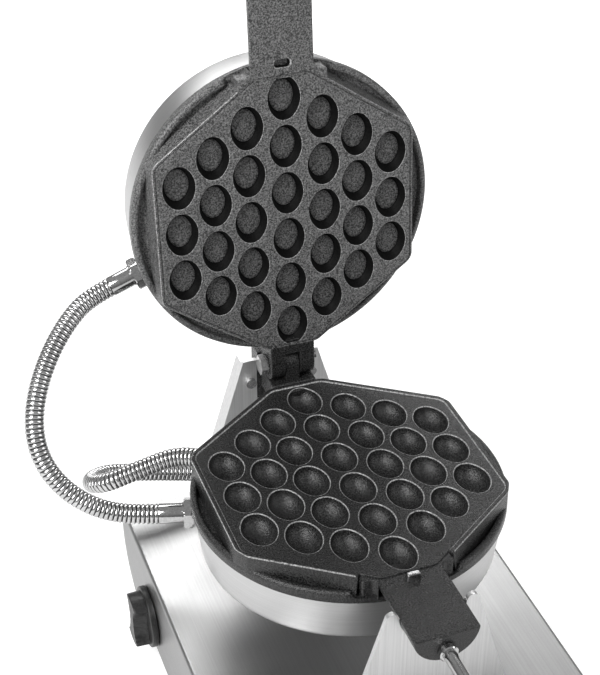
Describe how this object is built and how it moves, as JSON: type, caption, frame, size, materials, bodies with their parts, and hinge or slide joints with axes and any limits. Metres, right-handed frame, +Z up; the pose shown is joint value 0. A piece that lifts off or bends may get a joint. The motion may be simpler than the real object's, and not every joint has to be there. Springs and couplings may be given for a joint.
{
  "type": "egg waffle pan",
  "caption": "Electric egg waffle pan: hinged pair of round bubble plates that turns over on a cradle above a stainless base.",
  "frame": {"origin": "centre of the base's underside, where the pattern of foot screws is centred", "axes": "+X is the operator's right, +Y points away from the operator from the handles to the hinge, +Z is up"},
  "size_m": [0.2956, 0.4789, 0.6146],
  "materials": {
    "brushed_steel": "brushed",
    "chrome": "polished",
    "coated_cast": "speckled non-stick coating",
    "screw_steel": "satin",
    "rubber": "matte",
    "black_plastic": "satin",
    "knob_plastic": "satin",
    "rocker_plastic": "gloss",
    "lamp_plastic": "translucent",
    "brass": "satin",
    "heater_steel": "dull",
    "insulation": "matte"
  },
  "bodies": {
    "base": {"base_housing": "brushed_steel", "bottom_plate": "brushed_steel", "rubber_feet": "rubber", "foot_screws": "screw_steel", "front_cradle": "brushed_steel", "rear_bracket": "brushed_steel", "support_screws": "screw_steel", "bearing_block": "black_plastic", "bearing_bush": "brass", "bearing_bolts": "screw_steel", "supply_gland": "chrome", "thermostat": "black_plastic", "switch_frame": "black_plastic", "signal_lamp": "lamp_plastic", "mains_gland": "black_plastic", "terminal_block": "black_plastic", "supply_conduit": "chrome"},
    "knob": {"thermostat_knob": "knob_plastic", "thermostat_shaft": "screw_steel"},
    "rocker": {"switch_rocker": "rocker_plastic"},
    "lower_pan": {"lower_plate": "coated_cast", "lower_shell": "brushed_steel", "lower_heater": "heater_steel", "lower_heater_clamp": "heater_steel", "lower_insulation": "insulation", "lower_shell_screws": "screw_steel", "lower_handle_rod": "chrome", "lower_handle_ferrule": "chrome", "lower_handle_grip": "knob_plastic", "lower_link_gland": "chrome", "lower_supply_gland": "chrome", "hinge_pin": "screw_steel", "hinge_clip": "screw_steel", "link_conduit": "chrome"},
    "upper_pan": {"upper_plate": "coated_cast", "upper_shell": "brushed_steel", "upper_heater": "heater_steel", "upper_heater_clamp": "heater_steel", "upper_insulation": "insulation", "upper_shell_screws": "screw_steel", "upper_handle_rod": "chrome", "upper_handle_ferrule": "chrome", "upper_handle_grip": "knob_plastic", "upper_link_gland": "chrome"}
  },
  "joints": [
    {"name": "pan_turn", "type": "hinge", "parent": "base", "child": "lower_pan", "pos_m": [0, 0.017, 0.168], "axis": [0, 1, 0], "range_deg": [-35, 35], "deforming": ["supply_conduit"]},
    {"name": "lid_hinge", "type": "hinge", "parent": "lower_pan", "child": "upper_pan", "pos_m": [0, 0.1265, 0.1799], "axis": [1, 0, 0], "range_deg": [0, 95], "deforming": ["link_conduit"]},
    {"name": "knob_turn", "type": "hinge", "parent": "base", "child": "knob", "pos_m": [-0.1135, 0.085, 0.023], "axis": [1, 0, 0], "range_deg": [0, 270]},
    {"name": "switch_rock", "type": "hinge", "parent": "base", "child": "rocker", "pos_m": [-0.1095, -0.045, 0.034], "axis": [0, 1, 0], "range_deg": [0, 20]}
  ]
}
